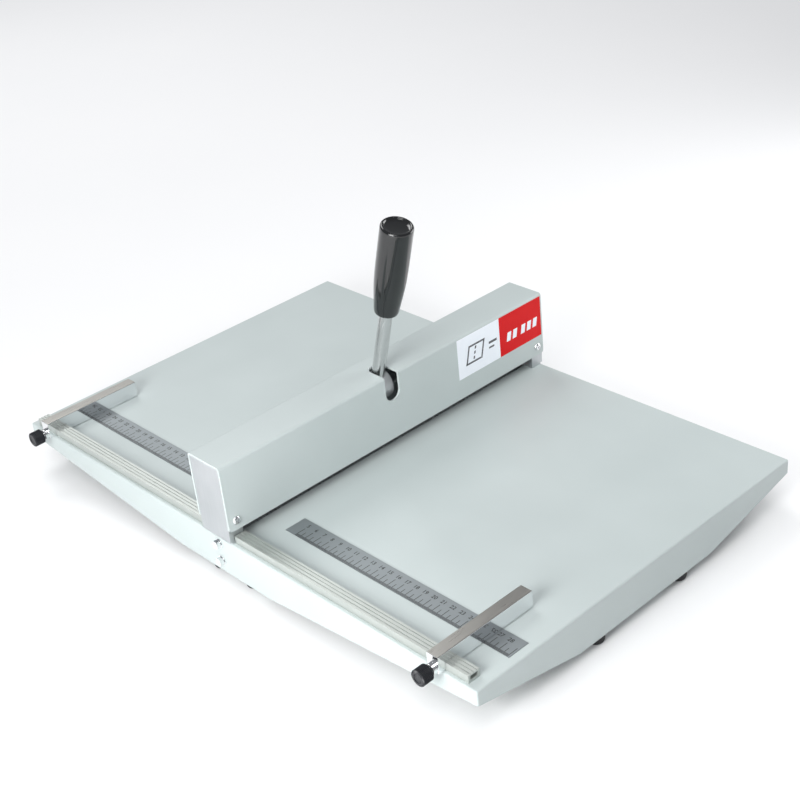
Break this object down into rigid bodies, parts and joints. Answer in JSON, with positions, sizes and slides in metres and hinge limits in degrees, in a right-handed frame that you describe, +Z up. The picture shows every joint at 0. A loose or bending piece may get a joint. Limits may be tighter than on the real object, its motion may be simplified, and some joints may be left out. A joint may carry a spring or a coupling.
{
  "type": "paper creasing machine",
  "caption": "Hand-lever paper creasing machine: folded sheet-steel table, covered cross beam with blade and cam shaft, upright lever, rulers and sliding side stops.",
  "frame": {"origin": "on the floor, under the middle of the whole machine (feet bottoms at z = 0)", "axes": "+X along the way the paper is fed, +Y from the front rail to the back along the beam, +Z up"},
  "size_m": [0.6, 0.4104, 0.2763],
  "materials": {
    "painted_sheet": "satin powder coat, pale grey-green",
    "brushed_aluminium": "brushed, machined",
    "rail_aluminium": "extruded, bright",
    "stop_aluminium": "polished and anodised",
    "ruler_steel": "satin with printed scale",
    "machined_steel": "ground steel",
    "bright_steel": "bright plated",
    "plated_screws": "zinc plated",
    "bush_bronze": "sintered bronze, oiled",
    "spring_steel": "drawn wire",
    "black_plastic": "glossy moulded",
    "knob_plastic": "knurled, satin black",
    "rubber": "matt black",
    "label_film": "printed film, white and red fields"
  },
  "bodies": {
    "base": {"base_shell": "painted_sheet", "beam_cover": "painted_sheet", "front_end_block": "brushed_aluminium", "rear_end_block": "brushed_aluminium", "base_beam": "brushed_aluminium", "left_rail": "rail_aluminium", "right_rail": "rail_aluminium", "left_ruler": "ruler_steel", "right_ruler": "ruler_steel", "creasing_strip": "machined_steel", "beam_bolts": "bright_steel", "beam_washers": "bright_steel", "cover_screws": "bright_steel", "strip_screws": "plated_screws", "end_block_screws": "plated_screws", "rail_screws": "plated_screws", "foot_screws": "plated_screws", "foot_nuts": "plated_screws", "front_bush": "bush_bronze", "rear_bush": "bush_bronze", "front_return_spring": "spring_steel", "rear_return_spring": "spring_steel", "rubber_foot_front_mid_left": "rubber", "rubber_foot_front_mid_right": "rubber", "rubber_foot_rear_mid_left": "rubber", "rubber_foot_rear_mid_right": "rubber", "rubber_foot_left_end_front": "rubber", "rubber_foot_right_end_front": "rubber", "rubber_foot_left_end_rear": "rubber", "rubber_foot_right_end_rear": "rubber", "side_label": "label_film"},
    "lever": {"drive_shaft": "machined_steel", "front_cam": "machined_steel", "rear_cam": "machined_steel", "cam_grub_screws": "plated_screws", "lever_hub": "machined_steel", "hub_grub_screw": "plated_screws", "lever_rod": "bright_steel", "lever_grip": "black_plastic"},
    "blade_bar": {"blade_carrier": "brushed_aluminium", "crease_blade": "machined_steel", "blade_screws": "plated_screws", "front_cam_pad": "machined_steel", "rear_cam_pad": "machined_steel", "pad_screws": "plated_screws"},
    "left_stop": {"left_stop": "stop_aluminium", "left_stop_nut": "bright_steel"},
    "left_thumb_screw": {"left_thumb_knob": "knob_plastic", "left_thumb_stud": "bright_steel"},
    "right_stop": {"right_stop": "stop_aluminium", "right_stop_nut": "bright_steel"},
    "right_thumb_screw": {"right_thumb_knob": "knob_plastic", "right_thumb_stud": "bright_steel"}
  },
  "joints": [
    {"name": "lever_turn", "type": "hinge", "parent": "base", "child": "lever", "pos_m": [0, 0.0053, 0.106], "axis": [0, 1, 0], "range_deg": [0, 73.5], "stiffness_Nm_per_rad": 0.3, "springref_deg": -45.84},
    {"name": "blade_slide", "type": "slide", "parent": "base", "child": "blade_bar", "axis": [0, 0, -1], "range_m": [0, 0.006], "deforming": ["front_return_spring", "rear_return_spring"]},
    {"name": "right_stop_slide", "type": "slide", "parent": "base", "child": "right_stop", "axis": [1, 0, 0], "range_m": [-0.225, 0.02]},
    {"name": "left_stop_slide", "type": "slide", "parent": "base", "child": "left_stop", "axis": [1, 0, 0], "range_m": [-0.019, 0.228]},
    {"name": "right_thumb_turn", "type": "hinge", "parent": "right_stop", "child": "right_thumb_screw", "pos_m": [0.2607, -0.1991, 0.051], "axis": [0, 1, 0], "continuous": true},
    {"name": "left_thumb_turn", "type": "hinge", "parent": "left_stop", "child": "left_thumb_screw", "pos_m": [-0.2635, -0.1991, 0.051], "axis": [0, 1, 0], "continuous": true}
  ],
  "couplings": [
    {"joint": "blade_slide", "follows": "lever_turn", "m_per_rad": 0.0046772}
  ]
}
